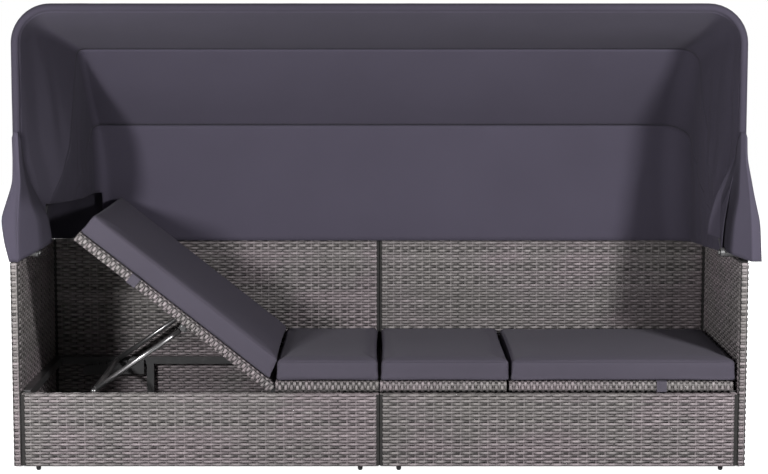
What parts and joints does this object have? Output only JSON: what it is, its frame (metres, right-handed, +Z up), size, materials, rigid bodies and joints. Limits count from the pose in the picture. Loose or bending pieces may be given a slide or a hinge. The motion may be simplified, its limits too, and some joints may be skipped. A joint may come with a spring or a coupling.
{
  "type": "outdoor daybed with canopy",
  "caption": "Woven outdoor daybed of two modules: seat panels lift into backrests on props, loose cushions, and a hooped canopy folds to the back.",
  "frame": {"origin": "on the ground, under the middle of the daybed's box", "axes": "+X along the daybed, to the right as seen from the front; +Y from the front to the back; +Z up"},
  "size_m": [2.1038, 0.62, 1.302],
  "materials": {
    "wicker": "woven flat strands of grey resin, slightly brushed",
    "frame_steel": "black powder coat",
    "cushion_cloth": "dark violet-grey polyester weave",
    "canopy_cloth": "dark violet-grey outdoor polyester",
    "webbing": "flat woven strap",
    "zinc_plate": "dull zinc plating",
    "glide_plastic": "moulded black plastic"
  },
  "bodies": {
    "frame": {"arm_cover_left": "wicker", "arm_frame_left": "frame_steel", "back_cover_left": "wicker", "back_frame_left": "frame_steel", "apron_cover_left": "wicker", "apron_frame_left": "frame_steel", "rear_rail_left": "frame_steel", "side_rail_left": "frame_steel", "joist_left": "frame_steel", "rack_front_left": "frame_steel", "rack_rear_left": "frame_steel", "seat_cover_left": "wicker", "seat_frame_left": "frame_steel", "seat_cushion_left": "cushion_cloth", "hub_bracket_left": "zinc_plate", "glide_front_outer_left": "glide_plastic", "glide_front_inner_left": "glide_plastic", "glide_rear_outer_left": "glide_plastic", "glide_rear_inner_left": "glide_plastic", "arm_cover_right": "wicker", "arm_frame_right": "frame_steel", "back_cover_right": "wicker", "back_frame_right": "frame_steel", "apron_cover_right": "wicker", "apron_frame_right": "frame_steel", "rear_rail_right": "frame_steel", "side_rail_right": "frame_steel", "joist_right": "frame_steel", "rack_front_right": "frame_steel", "rack_rear_right": "frame_steel", "seat_cover_right": "wicker", "seat_frame_right": "frame_steel", "seat_cushion_right": "cushion_cloth", "hub_bracket_right": "zinc_plate", "glide_front_outer_right": "glide_plastic", "glide_front_inner_right": "glide_plastic", "glide_rear_outer_right": "glide_plastic", "glide_rear_inner_right": "glide_plastic", "joist_centre": "frame_steel", "canopy_lower_back": "canopy_cloth"},
    "backrest_left": {"backrest_frame_left": "frame_steel", "backrest_cover_left": "wicker", "hinge_rod_left": "zinc_plate", "backrest_cushion_left": "cushion_cloth", "cushion_strap_left": "webbing"},
    "prop_left": {"prop_left": "frame_steel"},
    "backrest_right": {"backrest_frame_right": "frame_steel", "backrest_cover_right": "wicker", "hinge_rod_right": "zinc_plate", "backrest_cushion_right": "cushion_cloth", "cushion_strap_right": "webbing"},
    "prop_right": {"prop_right": "frame_steel"},
    "hoop_rear": {"hoop_rear": "frame_steel", "canopy_upper_back": "canopy_cloth"},
    "hoop_mid": {"hoop_mid": "frame_steel", "canopy_roof": "canopy_cloth"},
    "hoop_front": {"hoop_front": "frame_steel"}
  },
  "joints": [
    {"name": "backrest_left_lift", "type": "hinge", "parent": "frame", "child": "backrest_left", "pos_m": [-0.307, 0, 0.238], "axis": [0, 1, 0], "range_deg": [-38.5, 11.5]},
    {"name": "prop_left_turn", "type": "hinge", "parent": "backrest_left", "child": "prop_left", "pos_m": [-0.54982, 0, 0.39537], "axis": [0, -1, 0], "range_deg": [-72.69, 22.06]},
    {"name": "backrest_right_lift", "type": "hinge", "parent": "frame", "child": "backrest_right", "pos_m": [0.37, 0, 0.238], "axis": [0, -1, 0], "range_deg": [0, 50]},
    {"name": "prop_right_turn", "type": "hinge", "parent": "backrest_right", "child": "prop_right", "pos_m": [0.658, 0, 0.21], "axis": [0, 1, 0], "range_deg": [-0.5, 94.25]},
    {"name": "canopy_fold", "type": "hinge", "parent": "frame", "child": "hoop_rear", "pos_m": [0, -0.27, 0.612], "axis": [-1, 0, 0], "range_deg": [0, 28.3], "deforming": ["canopy_lower_back"]},
    {"name": "hoop_mid_fold", "type": "hinge", "parent": "hoop_rear", "child": "hoop_mid", "pos_m": [0, -0.27, 0.612], "axis": [-1, 0, 0], "range_deg": [-0.5, 28.1], "deforming": ["canopy_upper_back"]},
    {"name": "hoop_front_fold", "type": "hinge", "parent": "hoop_mid", "child": "hoop_front", "pos_m": [0, -0.27, 0.612], "axis": [-1, 0, 0], "range_deg": [-0.5, 29.6], "deforming": ["canopy_roof"]}
  ],
  "couplings": [
    {"joint": "prop_left_turn", "follows": "backrest_left_lift", "ratio": 1.875},
    {"joint": "prop_right_turn", "follows": "backrest_right_lift", "ratio": 1.875},
    {"joint": "hoop_mid_fold", "follows": "canopy_fold", "ratio": 0.97527},
    {"joint": "hoop_front_fold", "follows": "canopy_fold", "ratio": 1.0283}
  ]
}
